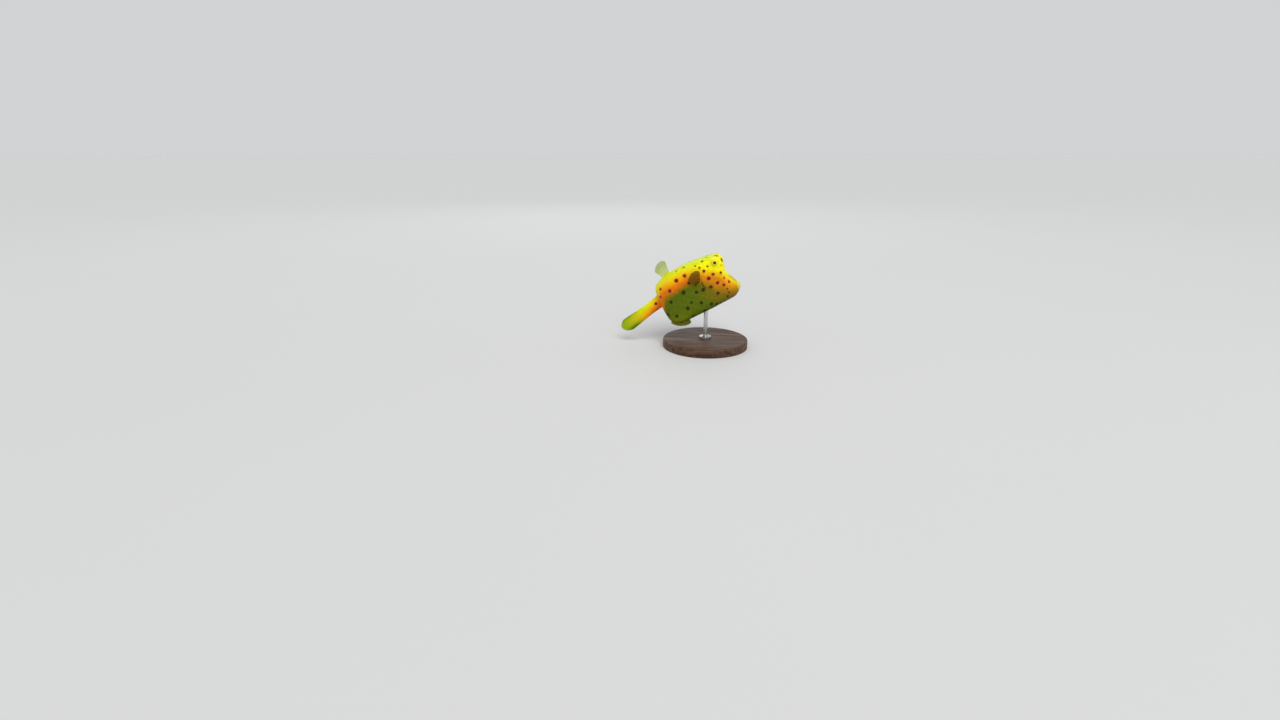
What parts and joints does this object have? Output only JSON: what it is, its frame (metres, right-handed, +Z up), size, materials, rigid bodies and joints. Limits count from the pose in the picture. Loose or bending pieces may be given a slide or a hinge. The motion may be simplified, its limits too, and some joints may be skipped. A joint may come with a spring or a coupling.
{
  "type": "boxfish museum model",
  "caption": "Life-size yellow spotted boxfish swimming nose up, a still model held by a rod on a plain round display stand.",
  "frame": {"origin": "centre of the stand's flat underside, which rests on the floor", "axes": "+X the way the fish heads, +Z up, so its right side faces -Y"},
  "size_m": [0.1278, 0.084, 0.0921],
  "materials": {
    "skin": "satin, black-spotted yellow",
    "stalk": "satin orange-yellow",
    "fin": "satin yellow",
    "lip": "satin pale yellow",
    "eye": "gloss yellow with a dark pupil",
    "wood": "dark satin",
    "steel": "brushed"
  },
  "bodies": {
    "root": {"head": "skin", "carapace": "skin", "gill_flap_left": "skin", "gill_flap_right": "skin", "tail_stalk": "stalk", "caudal_fin": "fin", "dorsal_fin": "fin", "anal_fin": "fin", "pectoral_fin_left": "fin", "pectoral_fin_right": "fin", "upper_lip": "lip", "lower_lip": "lip", "eye_left": "eye", "eye_right": "eye", "stand_base": "wood", "stand_collar": "steel", "stand_rod": "steel"}
  },
  "joints": []
}
